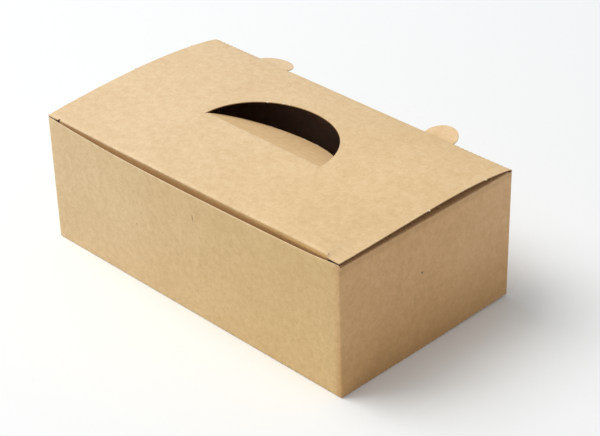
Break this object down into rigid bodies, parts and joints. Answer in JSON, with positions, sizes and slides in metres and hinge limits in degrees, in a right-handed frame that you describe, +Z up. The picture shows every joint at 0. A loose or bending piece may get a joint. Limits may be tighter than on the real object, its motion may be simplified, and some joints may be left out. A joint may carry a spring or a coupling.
{
  "type": "takeaway chicken box",
  "caption": "Folded kraft card carton with a bowed tuck-in lid, slit locks, half-round vent tabs and a push-in hand flap.",
  "frame": {"origin": "Centre of the flat base, on the surface that the box stands on.", "axes": "+X along the length, to the right as seen from the tuck side; +Y from the tuck side towards the lid's hinge fold; +Z up."},
  "size_m": [0.23, 0.1448, 0.0849],
  "materials": {
    "kraft_walls": "matt uncoated kraft",
    "kraft_lid": "matt uncoated kraft",
    "kraft_flap": "matt uncoated kraft"
  },
  "bodies": {
    "box": {"box_body": "kraft_walls"},
    "lid": {"lid": "kraft_lid"},
    "hand_flap": {"handle_flap": "kraft_flap"}
  },
  "joints": [
    {"name": "lid_hinge", "type": "hinge", "parent": "box", "child": "lid", "pos_m": [0, 0.06475, 0.07975], "axis": [-1, 0, 0], "range_deg": [0, 200]},
    {"name": "hand_flap_crease", "type": "hinge", "parent": "lid", "child": "hand_flap", "pos_m": [0, -0.0072, 0.0842], "axis": [-1, 0, 0], "range_deg": [-24, 96]}
  ]
}
